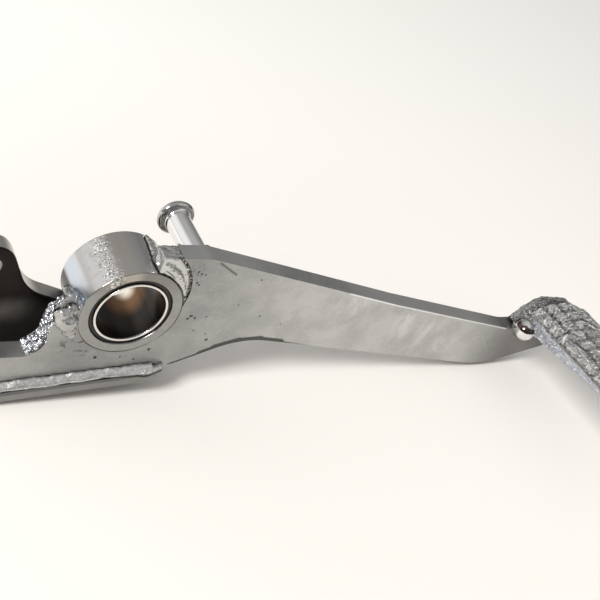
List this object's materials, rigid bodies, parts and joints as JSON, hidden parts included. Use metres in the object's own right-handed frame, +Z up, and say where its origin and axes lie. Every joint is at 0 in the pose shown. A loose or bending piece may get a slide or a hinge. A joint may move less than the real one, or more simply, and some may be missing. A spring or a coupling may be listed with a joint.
{
  "type": "motorbike rear brake pedal",
  "caption": "Welded steel foot brake pedal: flat profiled arm on a bushed pivot tube, rod lever with ear, spring pin and a crowned studded foot pad.",
  "frame": {"origin": "centre of the pivot bore, in the outer face of the pivot tube", "axes": "+X runs forward along the arm to the foot pad, +Y points inboard along the pivot, +Z is up as the pedal sits on the bike; the foot pad stands out to -Y"},
  "size_m": [0.2302, 0.0863, 0.052],
  "materials": {
    "arm_plate": "worn satin chrome with fine scratches and pits",
    "lever_plate": "dull chrome, browned on the inner face",
    "web_plate": "worn satin chrome",
    "pivot_tube": "turned and plated, pitted on one side",
    "pivot_bush": "thin worn bush",
    "dust_seal": "matt black",
    "spring_pin": "polished",
    "foot_pad": "plated casting, granular, bright on the stud tops",
    "weld": "plated weld beads"
  },
  "bodies": {
    "root": {"arm_plate": "arm_plate", "lever_plate": "lever_plate", "web_plate": "web_plate", "pivot_tube": "pivot_tube", "pivot_bush": "pivot_bush", "outer_dust_seal": "dust_seal", "inner_dust_seal": "dust_seal", "spring_pin": "spring_pin", "foot_pad": "foot_pad", "web_weld_outer": "weld", "web_weld_inner": "weld", "tube_weld_upper": "weld", "tube_weld_rear": "weld", "tube_weld_inboard": "weld", "lever_tube_weld": "weld", "spring_pin_weld": "weld", "pad_weld": "weld"}
  },
  "joints": []
}
